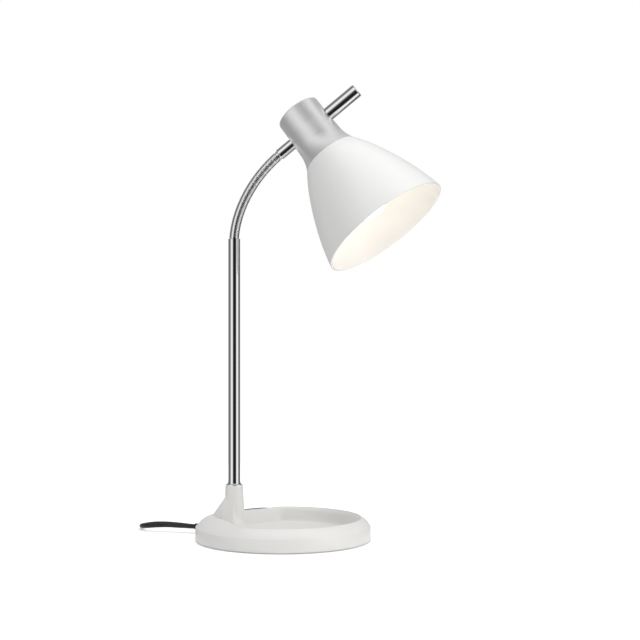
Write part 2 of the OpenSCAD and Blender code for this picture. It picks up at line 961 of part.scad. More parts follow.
// A point on the switch's long axis, and one behind the plug.
function at_switch_end(x) =
    [switch_xy[0] + x * cos(switch_turn), switch_xy[1] + x * sin(switch_turn), switch_h / 2];
function behind_plug(x) =
    [plug_xy[0] - x * cos(plug_turn), plug_xy[1] - x * sin(plug_turn), plug_h / 2];

// Points of the first stretch, in order from the base to the switch.
run_points = concat(
    [out_of_base(bush_reach - 0.3), out_of_base(bush_reach + 4)],
    [[-116, 22.5, 7], [-129, 24, 7], [-141, 22.5, 6.6], [-152, 24.5, 5.4], [-160, 31.5, 4.2],
     [-163, 41.5, 3], [-162, 52, 2.4], [-155, 60.5, 2.4], [-145, 63, 2.4], [-134, 61, 2.4],
     [-123, 57, 2.4], [-112, 52, 2.4], [-101, 50.5, 2.4], [-92.5, 54.5, 2.8],
     [-87.5, 62.5, 3.6], [-86.5, 72, 5]],
    [at_switch_end(-switch_l / 2 - 5), at_switch_end(-switch_l / 2)]);

// Points from the switch to the coil, and from the coil to the plug.
mid_points = concat(
    [at_switch_end(switch_l / 2), at_switch_end(switch_l / 2 + 5)],
    [[-101.5, 156.5, 3.6], [-98.5, 163.5, 2.4], [-91.5, 167.5, 2.4], [-83, 168, 2.4],
     [-73.5, 165, 2.4], [-62.5, 159.5, 2.4], [-52.5, 156.3, 2.4]],
    [coil_point(-cord_d - 4), coil_point(-cord_d - 0.1)]);
end_points = concat(
    [coil_point(coil_sweep + cord_d + 0.1), coil_point(coil_sweep + cord_d + 4)],
    [[-56, 153.5, 7.6], [-44.5, 161, 6.4], [-33.5, 167, 4.6], [-22, 170.5, 3.4],
     [-11.5, 171, 3.6], [-3.5, 167.5, 5]],
    [behind_plug(plug_l + plug_tail + 5), behind_plug(plug_l + plug_tail)]);

// Centre line of the coil: inwards on the floor, up a layer in the half turn where
// it reverses, and outwards again. Past its ends it runs straight on.
function coil_at(s) =
    let (half = coil_sweep / 2,
         r = coil_r - coil_pitch * min(s, coil_sweep - s) / 360,
         climb = min(1, max(0, (s - half + 90) / 180)),
         a = coil_start - s)
    [coil_xy[0] + r * cos(a), coil_xy[1] + r * sin(a), tie_t + seat_gap / 2 + floor_z + coil_pitch * climb];
function coil_point(s) =
    s < 0 ? coil_at(0) + s * coil_dir(0)
    : s > coil_sweep ? coil_at(coil_sweep) + (s - coil_sweep) * coil_dir(coil_sweep)
    : coil_at(s);
function coil_dir(s) = [sin(coil_start - s), -cos(coil_start - s), 0];
coil_points = concat(
    [coil_point(-cord_d)],
    [for (s = [0:15:coil_sweep]) coil_at(s)],
    [coil_point(coil_sweep + cord_d)]);
coil_gap = min([for (i = [0:len(coil_points) - 1]) for (j = [i + 12:1:len(coil_points) - 1])
    norm(coil_points[i] - coil_points[j])]) - cord_d;
echo(least_gap_of_the_coil = coil_gap);

// Direction of a route at one of its points.
function route_dir(p, i) =
    let (d = p[min(i + 1, len(p) - 1)] - p[max(i - 1, 0)]) d / norm(d);

// Sideways direction of a ring: level, or as near as it can be to a given one.
function ring_side(t, side) =
    let (d = is_undef(side) ? cross([0, 0, 1], t) : side - (side * t) * t) d / norm(d);

// One unbroken tube along a route.
module swept_tube(p, r, sides, side = undef) {
    n = len(p);
    rings = [for (i = [0:n - 1])
        let (t = route_dir(p, i), u = ring_side(t, side), v = cross(t, u))
        for (k = [0:sides - 1])
            let (a = 360 * (k + 0.5) / sides)
            p[i] + r * (cos(a) * u + sin(a) * v)];
    walls = [for (i = [0:n - 2]) for (k = [0:sides - 1])
        let (a = i * sides + k, b = i * sides + (k + 1) % sides)
        each [[a, a + sides, b], [b, a + sides, b + sides]]];
    polyhedron(rings, concat(
        walls,
        [for (k = [1:sides - 2]) [0, k, k + 1]],
        [for (k = [1:sides - 2]) [(n - 1) * sides, (n - 1) * sides + k + 1, (n - 1) * sides + k]]));
}

module cord_run() {
    color(black)
        swept_tube(run_points, cord_r, 8);
}

module cord_mid() {
    color(black)
        swept_tube(mid_points, cord_r, 8);
}

module cord_coil() {
    color(black)
        swept_tube(coil_points, cord_r, 6);
}

// Two flat ties, each a closed loop round all the turns.
module cord_ties() {
    inner = coil_r - coil_pitch * coil_sweep / 720 - cord_r - seat_gap;
    outer = coil_r + cord_r + seat_gap;
    top = tie_t + 2 * seat_gap + cord_d + coil_pitch;
    color(black)
        for (a = [12, 192])
            translate([coil_xy[0], coil_xy[1], 0])
                rotate([0, 0, a])
                    translate([inner, -tie_w / 2, 0])
                        difference() {
                            translate([-tie_t, 0, 0])
                                cube([outer - inner + 2 * tie_t, tie_w, top + tie_t]);
                            translate([0, -1, tie_t])
                                cube([outer - inner, tie_w + 2, top - tie_t]);
                        }
}

module cord_end() {
    color(black)
        swept_tube(end_points, cord_r, 8);
}

// Flat two-pin plug: +X is the way its pins point, and 0 is its front face.
pin_out = 9.3;
pin_l = 19;
pin_sleeve = 10;

module at_plug() {
    translate([plug_xy[0], plug_xy[1], plug_h / 2])
        rotate([0, 0, plug_turn])
            children();
}

// Slab with round edges along X.
module round_slab(x0, x1, w, h, r) {
    for (y = [-w / 2 + r, w / 2 - r])
        for (z = [-h / 2 + r, h / 2 - r])
            translate([x0, y, z])
                rotate([0, 90, 0])
                    cylinder(r = r, h = x1 - x0, $fn = 32);
}

module plug_body() {
    color(black)
        at_plug()
            difference() {
                union() {
                    hull() {
                        round_slab(-8, 0, plug_w, plug_h, 5);
                        round_slab(-plug_l, -plug_l + 1, 15, 10, 4.4);
                    }
                    translate([-plug_l - plug_tail, 0, 0])
                        rotate([0, 90, 0])
                            cylinder(r1 = cord_r + 0.8, r2 = 4.4, h = plug_tail + 1, $fn = 48);
                    for (y = [-pin_out, pin_out])
                        translate([0, y, 0])
                            rotate([0, 90, 0])
                                rod(2, -1, pin_sleeve);
                }
                for (y = [-pin_out, pin_out])
                    translate([0, y, 0])
                        rotate([0, 90, 0])
                            rod(1.5 + 0.02, -10, pin_sleeve + 1);
            }
}

module plug_pins() {
    color(brass)
        at_plug()
            for (y = [-pin_out, pin_out])
                translate([0, y, 0])
                    rotate([0, 90, 0])
                        rotate_extrude($fn = 48)
                            polygon([[0, -9.9], [1.5, -9.9], [1.5, pin_sleeve + 0.02],
                                     [2, pin_sleeve + 0.02], [2, pin_l - 1], [1.4, pin_l],
                                     [0, pin_l]]);
}

// Rocker switch on the lead: +X runs along it, away from the lamp's base.
rocker_l = 15;
rocker_w = 7.6;
rocker_tilt = 8;
rocker_axis_h = 9;
rocker_pin_r = 0.9;
switch_wall = 1.6;
switch_split_h = 5;
switch_screw_x = 17;

module at_switch() {
    translate([switch_xy[0], switch_xy[1], 0])
        rotate([0, 0, switch_turn])
            children();
}

// Plan of the switch, narrower at its ends, drawn in by a wall's thickness.
module switch_plan(inset) {
    half = switch_l / 2 - inset;
    offset(r = 3)
        polygon([
            [-half + 3, -switch_w * 0.28 + inset + 3], [-half * 0.62, -switch_w / 2 + inset + 3],
            [half * 0.62, -switch_w / 2 + inset + 3], [half - 3, -switch_w * 0.28 + inset + 3],
            [half - 3, switch_w * 0.28 - inset - 3], [half * 0.62, switch_w / 2 - inset - 3],
            [-half * 0.62, switch_w / 2 - inset - 3], [-half + 3, switch_w * 0.28 - inset - 3]]);
}

module switch_half(z0, z1) {
    translate([0, 0, z0])
        linear_extrude(z1 - z0)
            switch_plan(0);
}

module switch_bottom() {
    color(black)
        at_switch()
            difference() {
                union() {
                    difference() {
                        switch_half(0, switch_split_h);
                        translate([0, 0, switch_wall])
                            linear_extrude(switch_h)
                                switch_plan(switch_wall);
                    }
                    for (x = [-switch_screw_x, switch_screw_x])
                        translate([x, 0, 0])
                            rod(3, 0, switch_split_h);
                }
                for (x = [-switch_screw_x, switch_screw_x])
                    translate([x, 0, 0]) {
                        rod(1.1 + run_gap, -1, switch_split_h + 1);
                        rod(2.1, -1, 1.6);
                    }
            }
}

module switch_top() {
    slot_l = rocker_l + 1.2;
    slot_w = rocker_w + 0.6;
    color(black)
        at_switch()
            difference() {
                union() {
                    difference() {
                        switch_half(switch_split_h + 0.05, switch_h);
                        translate([0, 0, -switch_wall])
                            linear_extrude(switch_h)
                                switch_plan(switch_wall);
                    }
                    for (x = [-switch_screw_x, switch_screw_x])
                        translate([x, 0, 0])
                            rod(3, switch_split_h + 0.05, switch_h - 1);
                    for (s = [-1, 1])
                        translate([-3, s * (slot_w / 2 + 0.9) - 0.9, rocker_axis_h - 3])
                            cube([6, 1.8, switch_h - rocker_axis_h + 3]);
                }
                translate([-slot_l / 2, -slot_w / 2, switch_h - switch_wall - 1])
                    cube([slot_l, slot_w, switch_wall + 2]);
                translate([0, 0, rocker_axis_h])
                    rotate([90, 0, 0])
                        rod(rocker_pin_r + 0.04, -slot_w / 2 - 1.3, slot_w / 2 + 1.3);
                for (x = [-switch_screw_x, switch_screw_x])
                    translate([x, 0, 0])
                        rod(1.1 + run_gap, 0, switch_h - 3);
            }
}

module switch_rocker() {
    half = rocker_l / 2;
    top = switch_h - rocker_axis_h + 1.7;
    dip = half * tan(rocker_tilt);
    color(black)
        at_switch()
            translate([0, 0, rocker_axis_h])
                rotate([0, rocker_tilt, 0])
                    rotate([90, 0, 0]) {
                        translate([0, 0, -rocker_w / 2])
                            linear_extrude(rocker_w)
                                polygon([
                                    [-half + 1.4, 0.4], [-2, -2], [2, -2], [half - 1.4, 0.4],
                                    [half, top], [half - 0.3, top + 0.3], [0, top + 0.3 - dip],
                                    [-half + 0.3, top + 0.3], [-half, top]]);
                        rod(rocker_pin_r, -rocker_w / 2 - 1.2, rocker_w / 2 + 1.2);
                    }
}

module switch_screws() {
    color(steel)
        at_switch()
            for (x = [-switch_screw_x, switch_screw_x])
                translate([x, 0, 1.6 - 0.02])
                    screw(1.1, switch_h - 5, 2, 0.9);
}

base_shell();
ballast();
base_plate();
foot_pad();
base_screws();
cord_bush();
cord_clamp();
clamp_screws();
post();
post_collar();
post_nipple();
post_nut();
post_washer();
lead_in_base();
neck_socket();
for (i = [1:links])
    neck_link(i);
neck_ferrule();
friction_washer();
pivot_nut();
lead_in_ferrule();
head_cap();
pivot_bush();
handle_rod();
handle_screw();
handle_washer();
shade();
lampholder_body();
lampholder_core();
shade_ring();
thread_sleeve();
centre_contact();
bulb_cap();
bulb_globe();
lead_in_head();
cord_run();
cord_mid();
cord_coil();
cord_ties();
cord_end();
plug_body();
plug_pins();
switch_bottom();
switch_top();
switch_rocker();
switch_screws();
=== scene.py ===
import math

import bpy
import numpy as np
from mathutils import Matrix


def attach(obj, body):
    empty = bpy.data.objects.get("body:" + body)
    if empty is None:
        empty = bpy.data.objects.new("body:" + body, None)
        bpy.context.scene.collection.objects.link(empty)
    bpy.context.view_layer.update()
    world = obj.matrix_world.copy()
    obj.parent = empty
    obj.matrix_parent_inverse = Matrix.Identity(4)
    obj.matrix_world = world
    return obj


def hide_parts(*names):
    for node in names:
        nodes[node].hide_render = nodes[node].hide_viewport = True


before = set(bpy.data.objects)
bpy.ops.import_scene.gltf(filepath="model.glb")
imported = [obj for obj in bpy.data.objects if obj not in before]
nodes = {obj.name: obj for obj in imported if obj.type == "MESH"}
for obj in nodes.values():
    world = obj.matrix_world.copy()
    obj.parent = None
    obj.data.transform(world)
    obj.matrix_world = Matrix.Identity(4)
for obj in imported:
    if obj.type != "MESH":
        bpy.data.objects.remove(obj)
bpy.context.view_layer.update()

# ---- the camera ----
# The photograph is a level view with a long lens, from about half the lamp's height. It
# looks from in front, 12 degrees round towards the side that the head reaches to.
view_turn = math.radians(12.25)
view_distance = 1.365
view_height = 0.2197
view_side = 0.0368
sensor_width = 36
focal_length = 1365 / 640  # in widths of the picture
across = np.array([math.cos(view_turn), math.sin(view_turn), 0])
away = np.array([-math.sin(view_turn), math.cos(view_turn), 0])

eye = across * view_side - away * view_distance
camera_data = bpy.data.cameras.new("camera")
camera_data.sensor_width = sensor_width
camera_data.lens = sensor_width * focal_length
camera_data.clip_start = 0.05
camera = bpy.data.objects.new("camera", camera_data)
camera.location = (eye[0], eye[1], view_height)
camera.rotation_euler = (math.pi / 2, 0, view_turn)
bpy.context.collection.objects.link(camera)
bpy.context.scene.camera = camera
bpy.context.scene.view_settings.view_transform = "Standard"


# ---- the lead ----
# Round two-core lead in black PVC, 4.6 mm thick and about 1.6 m long. It comes
# out of the base through a bush, carries a rocker switch, and its spare length is
# coiled and tied behind the base, with the plug beside it.
def linear(hex_colour):
    """Linear red, green, blue and 1 from an sRGB hex colour, by the sRGB curve."""
    channels = [int(hex_colour[i:i + 2], 16) / 255 for i in (1, 3, 5)]
    return [c / 12.92 if c < 0.04045 else ((c + 0.055) / 1.055) ** 2.4 for c in channels] + [1]


def add(tree, kind, inputs=None, **settings):
    """Adds a node, with its settings, and with its inputs set or linked."""
    made = tree.nodes.new(kind)
    for name, value in settings.items():
        setattr(made, name, value)
    for name, value in (inputs or {}).items():
        if isinstance(value, bpy.types.NodeSocket):
            tree.links.new(value, made.inputs[name])
        else:
            made.inputs[name].default_value = value
    return made


def new_material(name, hex_colour, **sockets):
    """A material with one shader, whose sockets are named with _ for a space."""
    made = bpy.data.materials.new(name)
    made.use_nodes = True
    shader = made.node_tree.nodes["Principled BSDF"]
    shader.inputs["Base Color"].default_value = linear(hex_colour)
    for socket, value in sockets.items():
        shader.inputs[socket.replace("_", " ")].default_value = value
    return made, made.node_tree, shader


mm = 0.001


def uneven_gloss(tree, shader, patch, low, high):
    """Roughness that drifts between low and high, in soft patches so many mm across."""
    position = add(tree, "ShaderNodeTexCoord").outputs["Object"]
    patches = add(tree, "ShaderNodeTexNoise", {"Vector": position, "Scale": 1 / (patch * mm),
                                               "Detail": 3.0})
    gloss = add(tree, "ShaderNodeMapRange", {
        "Value": patches.outputs["Fac"], "To Min": low, "To Max": high})
    tree.links.new(gloss.outputs["Result"], shader.inputs["Roughness"])


def smooth_path(points, per_span):
    """Cubics from point to point, whose slope at each is half the chord past it."""
    p = np.vstack([2 * points[0] - points[1], points, 2 * points[-1] - points[-2]])
    t = np.linspace(0, 1, per_span, endpoint=False)[None, :, None]
    a, b, c, d = p[:-3, None], p[1:-2, None], p[2:-1, None], p[3:, None]
    spans = 0.5 * (2 * b + (c - a) * t + (2 * a - 5 * b + 4 * c - d) * t ** 2
                   + (3 * b - a - 3 * c + d) * t ** 3)
    return np.vstack([spans.reshape(-1, 3), points[-1:]])


def grid_mesh(name, grid, closed_u=False, closed_v=False, caps=False):
    """A mesh of quads over a grid of points; either way round can close on itself."""
    rows, cols = grid.shape[:2]
    i = np.arange(rows if closed_u else rows - 1)
    j = np.arange(cols if closed_v else cols - 1)
    i, j = np.meshgrid(i, j, indexing="ij")
    i2, j2 = (i + 1) % rows, (j + 1) % cols
    quads = np.stack([i * cols + j, i2 * cols + j, i2 * cols + j2, i * cols + j2], -1)
    faces = quads.reshape(-1, 4).tolist()
    if caps:
        faces.append(list(range(cols)))
        faces.append(list(range(rows * cols - 1, (rows - 1) * cols - 1, -1)))
    mesh = bpy.data.meshes.new(name)
    mesh.from_pydata(grid.reshape(-1, 3), [], faces)
    mesh.polygons.foreach_set("use_smooth", np.ones(len(mesh.polygons), bool))
    mesh.update()
    return mesh


def new_piece(name, mesh, material, body):
    """An object at the origin that rides on a body."""
    made = bpy.data.objects.new(name, mesh)
    mesh.materials.append(material)
    bpy.context.collection.objects.link(made)
    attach(made, body)
    return made


def tube_grid(path, radius, sides):
    """Rings round a path: cosine by the level and sine by the steep normal of each point."""
    along = np.gradient(path, axis=0)
    along /= np.linalg.norm(along, axis=1)[:, None]
    level = np.cross([0, 0, 1], along)
    level /= np.linalg.norm(level, axis=1)[:, None]
    steep = np.cross(along, level)
    turn = 2 * np.pi * np.arange(sides) / sides
    ring = (np.cos(turn)[None, :, None] * level[:, None]
            + np.sin(turn)[None, :, None] * steep[:, None])
    return path[:, None] + radius * ring


base_r = 87.5
cord_d = 4.6
cord_r = cord_d / 2
exit_turn = math.radians(168)
exit_h = 7.1
bush_reach = 13
switch_l, switch_h = 52, 12
switch_xy, switch_turn = np.array([-93, 114]), math.radians(102)
plug_xy, plug_turn, plug_h, plug_back = np.array([13.5, 110.5]), math.radians(-78), 13.7, 48
coil_xy, coil_r, coil_pitch = np.array([-46, 118]), 35, 5.05
coil_start, coil_sweep, coil_step = 72, 2460, 10.0
coil_floor = 0.45 + cord_r
straight_l, short_straight_l = 5, 4  # at the switch and plug, and at the bush and coil
bush_overlap = 0.3
cord_sides, cord_steps = 16, 6


def out_of_base(reach):
    """A point on the line that leaves the base's side square to it, reach mm outside."""
    r = base_r + reach
    return [r * math.cos(exit_turn), r * math.sin(exit_turn), exit_h]


def at_switch_end(x):
    """A point on the switch's long axis, x mm from its middle."""
    along = np.array([math.cos(switch_turn), math.sin(switch_turn)])
    return [*(switch_xy + x * along), switch_h / 2]


def behind_plug(x):
    """A point on the plug's axis, x mm behind its face."""
    along = np.array([math.cos(plug_turn), math.sin(plug_turn)])
    return [*(plug_xy - x * along), plug_h / 2]


def coil_at(s):
    """The coil's centre line at s degrees: inwards by a pitch a turn, up and outwards.

    It climbs one pitch, to the second layer, in the half turn about its middle.
    """
    r = coil_r - coil_pitch * np.minimum(s, coil_sweep - s) / 360
    climb = np.clip((s - coil_sweep / 2 + 90) / 180, 0, 1)
    a = np.radians(coil_start - s)
    return np.stack([coil_xy[0] + r * np.cos(a), coil_xy[1] + r * np.sin(a),
                     coil_floor + coil_pitch * climb], -1)


def coil_lead(s, reach):
    """A point straight on past an end of the coil, along its tangent."""
    a = math.radians(coil_start - s)
    return coil_at(np.array(float(s))) + reach * np.array([math.sin(a), -math.cos(a), 0])


run_points = np.array([
    out_of_base(bush_reach - bush_overlap), out_of_base(bush_reach + short_straight_l),
    [-116, 22.5, 7], [-129, 24, 7], [-141, 22.5, 6.6], [-152, 24.5, 5.4], [-160, 31.5, 4.2],
    [-163, 41.5, 3], [-162, 52, 2.4], [-155, 60.5, 2.4], [-145, 63, 2.4], [-134, 61, 2.4],
    [-123, 57, 2.4], [-112, 52, 2.4], [-101, 50.5, 2.4], [-92.5, 54.5, 2.8],
    [-87.5, 62.5, 3.6], [-86.5, 72, 5],
    at_switch_end(-switch_l / 2 - straight_l), at_switch_end(-switch_l / 2)])
mid_points = np.array([
    at_switch_end(switch_l / 2), at_switch_end(switch_l / 2 + straight_l),
    [-101.5, 156.5, 3.6], [-98.5, 163.5, 2.4], [-91.5, 167.5, 2.4], [-83, 168, 2.4],
    [-73.5, 165, 2.4], [-62.5, 159.5, 2.4], [-52.5, 156.3, 2.4],
    coil_lead(0, -cord_d - short_straight_l), coil_lead(0, -cord_d)])
end_points = np.array([
    coil_lead(coil_sweep, cord_d), coil_lead(coil_sweep, cord_d + short_straight_l),
    [-56, 153.5, 7.6], [-44.5, 161, 6.4], [-33.5, 167, 4.6], [-22, 170.5, 3.4],
    [-11.5, 171, 3.6], [-3.5, 167.5, 5],
    behind_plug(plug_back + straight_l), behind_plug(plug_back)])

run_path = smooth_path(run_points, cord_steps) * mm
tail_path = np.vstack([smooth_path(mid_points, cord_steps),
                       coil_at(np.arange(0, coil_sweep + 1, coil_step)),
                       smooth_path(end_points, cord_steps)]) * mm

# Extruded PVC is deep black, with a soft highlight along its length.
sheath, tree, shader = new_material("black_pvc_sheath", "#161617")
uneven_gloss(tree, shader, patch=1.1, low=0.3, high=0.44)

lead_to_switch = new_piece(
    "lead_to_switch", grid_mesh("lead_to_switch", tube_grid(run_path, cord_r * mm, cord_sides),
                                closed_v=True, caps=True), sheath, "base")
lead_to_plug = new_piece(
    "lead_to_plug", grid_mesh("lead_to_plug", tube_grid(tail_path, cord_r * mm, cord_sides),
                              closed_v=True, caps=True), sheath, "base")
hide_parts("cord_run")
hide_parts("cord_mid", "cord_coil", "cord_end")


def dress(material, *names):
    """Puts a material on CAD nodes, whose shapes are right as they are."""
    for name in names:
        for place in nodes[name].material_slots:
            place.material = material


# ---- switch, plug, bush and ties ----
# Black injection-moulded pieces with a fine spark-eroded grain of 0.4 mm, which dulls
# their shine, and plated metal pins and screws, which stay bright.
black_moulding, tree, shader = new_material(
    "black_moulded_plastic", "#1a1a1b", Roughness=0.45)
position = add(tree, "ShaderNodeTexCoord").outputs["Object"]
grain_size, grain_depth = 0.4 * mm, 0.1 * mm
grain = add(tree, "ShaderNodeTexNoise", {"Vector": position, "Scale": 1 / grain_size,
                                         "Detail": 2.0})
bump = add(tree, "ShaderNodeBump", {"Height": grain.outputs["Fac"], "Strength": 0.2,
                                    "Distance": grain_depth})
tree.links.new(bump.outputs["Normal"], shader.inputs["Normal"])
dress(black_moulding, "switch_bottom", "switch_top", "switch_rocker", "plug_body", "cord_ties",
      "cord_bush", "cord_clamp", "pivot_bush", "foot_pad")
dress(sheath, "lead_in_base", "lead_in_ferrule", "lead_in_head")

plated, tree, shader = new_material("zinc_plated_steel", "#b4b6ba", Metallic=1.0)
uneven_gloss(tree, shader, patch=3, low=0.22, high=0.34)
dress(plated, "plug_pins", "switch_screws", "base_screws", "clamp_screws", "base_plate",
      "post_nipple", "post_nut", "post_washer", "friction_washer", "pivot_nut", "handle_screw",
      "handle_washer", "thread_sleeve")

# ---- base ----
# Round base moulded in off-white ABS, with a soft sheen: a shallow tray whose wall
# rolls over into a sloping rim, and a socket for the post that flows into the floor
# and, through a fin, into the rim. It covers the ballast.
white_moulding, tree, shader = new_material(
    "white_moulded_abs", "#e2e1df", Coat_Weight=0.15, Coat_Roughness=0.2)
uneven_gloss(tree, shader, patch=33, low=0.28, high=0.38)
rim_r, rim_h, side_h = 77.9, 22.7, 13.6
tray_floor, wall_draft = 7, 3.4
wall_foot, foot_radius, foot_span, foot_rise = 2, 2.4, 2.3, 1.7
deck_edge, deck_bearing, deck_blend = 61.4, math.radians(35.6), 2
post_x, post_r, post_fit, post_foot = 50.8, 6, 0.05, 26
post_bore_r = post_r + post_fit
socket_h, socket_top_r, socket_foot_r, socket_fillet = 53.8, 8.8, 10.4, 14
socket_blend, mouth_round = 3, 0.6
fin_x, fin_ridge = [-78, -72.3, -60.5, -50], [21.4, 22.6, 39, 54]
fin_half_x, fin_half = [-76, -60], [5, 7]
flank_reach, flank_power, fin_blend = 5, 1.3, 4
edge_round, side_foot = 1.2, 0.8
band_bulge = 0.085
floor_under, nut_recess_r, ledge_under = 4.8, 8.5, 22
skirt_hollow = [(85.3, side_foot), (85.3, 12.8), (81.1, 18.1), (76.7, floor_under)]
base_sides, socket_rows, tray_rows, band_rows = 288, 26, 80, 21
edge_steps = 200


def soft_max(a, b, reach):
    """The larger of two heights, with the crease between them rounded off over reach."""
    near = np.clip(reach - np.abs(a - b), 0, None) / reach
    return np.maximum(a, b) + near ** 3 * reach / 6


def socket_height(r):
    """Straight taper from the mouth to the foot, then a quarter-round out to the floor."""
    share = (r - socket_top_r) / (socket_foot_r - socket_top_r)
    mouth = socket_h - mouth_round
    taper = mouth - share * (mouth - tray_floor - socket_fillet)
    reach = np.clip(socket_foot_r + socket_fillet - r, 0, socket_fillet)
    sweep = tray_floor + socket_fillet - np.sqrt(socket_fillet ** 2 - reach ** 2)
    return np.where(r < socket_foot_r, taper, sweep)


def fin_height(x, y):
    """A ridge that falls straight from the socket and levels off at the rim.

    Off the ridge by d it keeps exp(-(d / flank_reach) ^ flank_power) of the ridge's height
    over the floor, so that its flanks are concave.
    """
    ridge = np.interp(x, fin_x, fin_ridge)
    half = np.interp(x, fin_half_x, fin_half)
    off = np.hypot(np.clip(np.abs(y) - half, 0, None), np.clip(x + post_x, 0, None))
    return tray_floor + (ridge - tray_floor) * np.exp(-(off / flank_reach) ** flank_power)


def edge_reach(x, y):
    """Radius of the tray's edge: a circle, cut straight on each side of the fin.

    The straight parts lie at deck_edge from the centre, at deck_bearing off the fin.
    """
    bearing = np.abs(np.arctan2(y, -x))
    flat = deck_edge / np.clip(np.cos(bearing - deck_bearing), 0.3, 1)
    return -soft_max(-flat, -rim_r + 0 * flat, deck_blend)


def tray_height(x, y):
    """Flat floor, a rounded foot, a steep wall, and the tray's edge."""
    r = np.hypot(x, y) * rim_r / edge_reach(x, y)
    foot = rim_r - wall_draft - wall_foot
    bend = np.clip(r - foot, 0, foot_span)
    curve = foot_radius - np.sqrt(foot_radius ** 2 - bend ** 2)
    slope = (rim_h - tray_floor - foot_rise) / (wall_draft + wall_foot - foot_span)
    wall = np.clip(r - foot - foot_span, 0, None) * slope
    return np.minimum(tray_floor + curve + wall, rim_h)


turns = np.linspace(0, 2 * np.pi, base_sides, endpoint=False)
heading = np.stack([np.cos(turns), np.sin(turns)], -1)
# Distance from the post along each heading to the tray's edge, found by steps of half
# the way that is still missing.
crest_reach = 20 + 0 * turns
for _ in range(edge_steps):
    x, y = -post_x + crest_reach * heading[:, 0], crest_reach * heading[:, 1]
    crest_reach = crest_reach + 0.5 * (edge_reach(x, y) - np.hypot(x, y))
near_r = np.linspace(socket_top_r, socket_foot_r, socket_rows)[:-1, None] + 0 * turns
far_r = socket_foot_r + np.linspace(0, 1, tray_rows)[:, None] * (crest_reach - socket_foot_r)
reach_grid = np.vstack([near_r, far_r])
x_grid = -post_x + reach_grid * heading[:, 0]
y_grid = reach_grid * heading[:, 1]
height = soft_max(socket_height(reach_grid), tray_height(x_grid, y_grid), socket_blend)
height = soft_max(height, fin_height(x_grid, y_grid), fin_blend)
top_rows = np.stack([x_grid, y_grid, height], -1)


def round_post(r, z):
    """A level ring round the post's axis, of radius r at height z."""
    return np.stack([-post_x + r * heading[:, 0], r * heading[:, 1], 0 * turns + z], -1)


crest = top_rows[-1, :, :2]
crest_r = np.linalg.norm(crest, axis=1)[:, None]


def round_base(r, z):
    """A ring of radius r about the base's axis, on the bearings of the tray's edge points."""
    return np.concatenate([crest / crest_r * r, z + 0 * crest_r], 1)


def quarter(r, z, radius, start, stop, count):
    """Radii and heights along a rounded edge: cosine and sine about its centre at r, z."""
    a = np.radians(np.linspace(start, stop, count))
    return zip(r + radius * np.cos(a), z + radius * np.sin(a))


def band_ring(share):
    """A ring of the sloping band, straight from the tray's edge to the side.

    A half sine of band_bulge times its width makes it a little convex.
    """
    width = base_r - crest_r
    bulge = band_bulge * width * math.sin(math.pi * share)
    edge_h = top_rows[-1, :, 2:]
    return round_base(crest_r + share * width + bulge,
                      edge_h + share * (side_h - edge_h) + bulge)


mouth_r, mouth_h = socket_top_r - mouth_round, socket_h - mouth_round
rows = [round_post(post_bore_r, post_foot), round_post(post_bore_r, socket_h)]
rows += [round_post(mouth_r, socket_h)]
rows += [round_post(r, z) for r, z in quarter(mouth_r, mouth_h, mouth_round, 75, 15, 4)]
rows += list(top_rows)
rows += [band_ring(share) for share in np.linspace(0, 1, band_rows)[1:]]
rows += [round_base(r, z) for r, z in quarter(base_r - edge_round, side_foot + edge_round,
                                              edge_round, 0, -90, 7)]
rows += [round_base(r, z) for r, z in skirt_hollow]
rows += [round_post(nut_recess_r, floor_under), round_post(nut_recess_r, ledge_under)]
rows += [round_post(post_bore_r, ledge_under)]
base_moulding = new_piece("base_moulding", grid_mesh("base_moulding", np.array(rows) * mm,
                                                     closed_u=True, closed_v=True),
                          white_moulding, "base")
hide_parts("base_shell")

# The ballast is rough cast iron, dark and dull.
iron, tree, shader = new_material("cast_iron", "#303033", Metallic=0.6)
uneven_gloss(tree, shader, patch=2, low=0.6, high=0.8)
dress(iron, "ballast")

# ---- post, ferrule and handle ----
# Drawn and turned steel, polished and chromium plated, which makes it a mirror with a
# cool white. The post is nutted under the base, and the handle rod is screwed to the cap
# from inside.
chrome, tree, shader = new_material("chromium_plate", "#f0f0f2", Metallic=1.0)
uneven_gloss(tree, shader, patch=17, low=0.03, high=0.09)
dress(chrome, "post", "post_collar", "neck_ferrule", "handle_rod", "neck_socket")

# ---- gooseneck ----
# Flexible neck in chromium-plated steel: 13 short turned links with fine grooves. Each
# seats on the ball of the one below, and the ferrule holds the last ball.
neck_chrome, tree, shader = new_material("chromed_steel_links", "#eeeef0", Metallic=1.0)
uneven_gloss(tree, shader, patch=17, low=0.04, high=0.08)
links, link_l, neck_r = 13, 7.4, 4.93
neck_foot, neck_turn, neck_spread = 302.6, 51.84, 0.77
grooves, groove_depth = 5, 0.14
groove_edges = [(-0.3, 0), (-0.24, 0), (-0.12, 1), (0.12, 1), (0.24, 0), (0.3, 0)]
groove_margin = 0.1
ball_r, ball_top, lip_r, cup_depth, bore_r = 4.74, 1.5, 4.78, 2.4, 4.1
swing_gap, post_lip = 0.64, -1
last_gap, last_ball_r, last_bore_r = 1.62, 3.9, 3.3
lip_edge, lip_corner, shoulder_corner, cup_slope = 0.02, 0.1, 0.08, 0.1
bore_wide, bore_narrow = 0.4, 0.3  # below the shoulder, where the last link's bore narrows
ball_rows = 9


def along_link(i):
    """Direction of link i: it leans by neck_turn times a power of its share of the neck."""
    a = math.radians(90 - neck_turn * (i / (links + 1)) ** neck_spread)
    return np.array([math.cos(a), 0, math.sin(a)])


joint_at = [np.array([-post_x, 0, neck_foot])]
for i in range(1, links + 1):
    joint_at.append(joint_at[-1] + link_l * along_link(i))


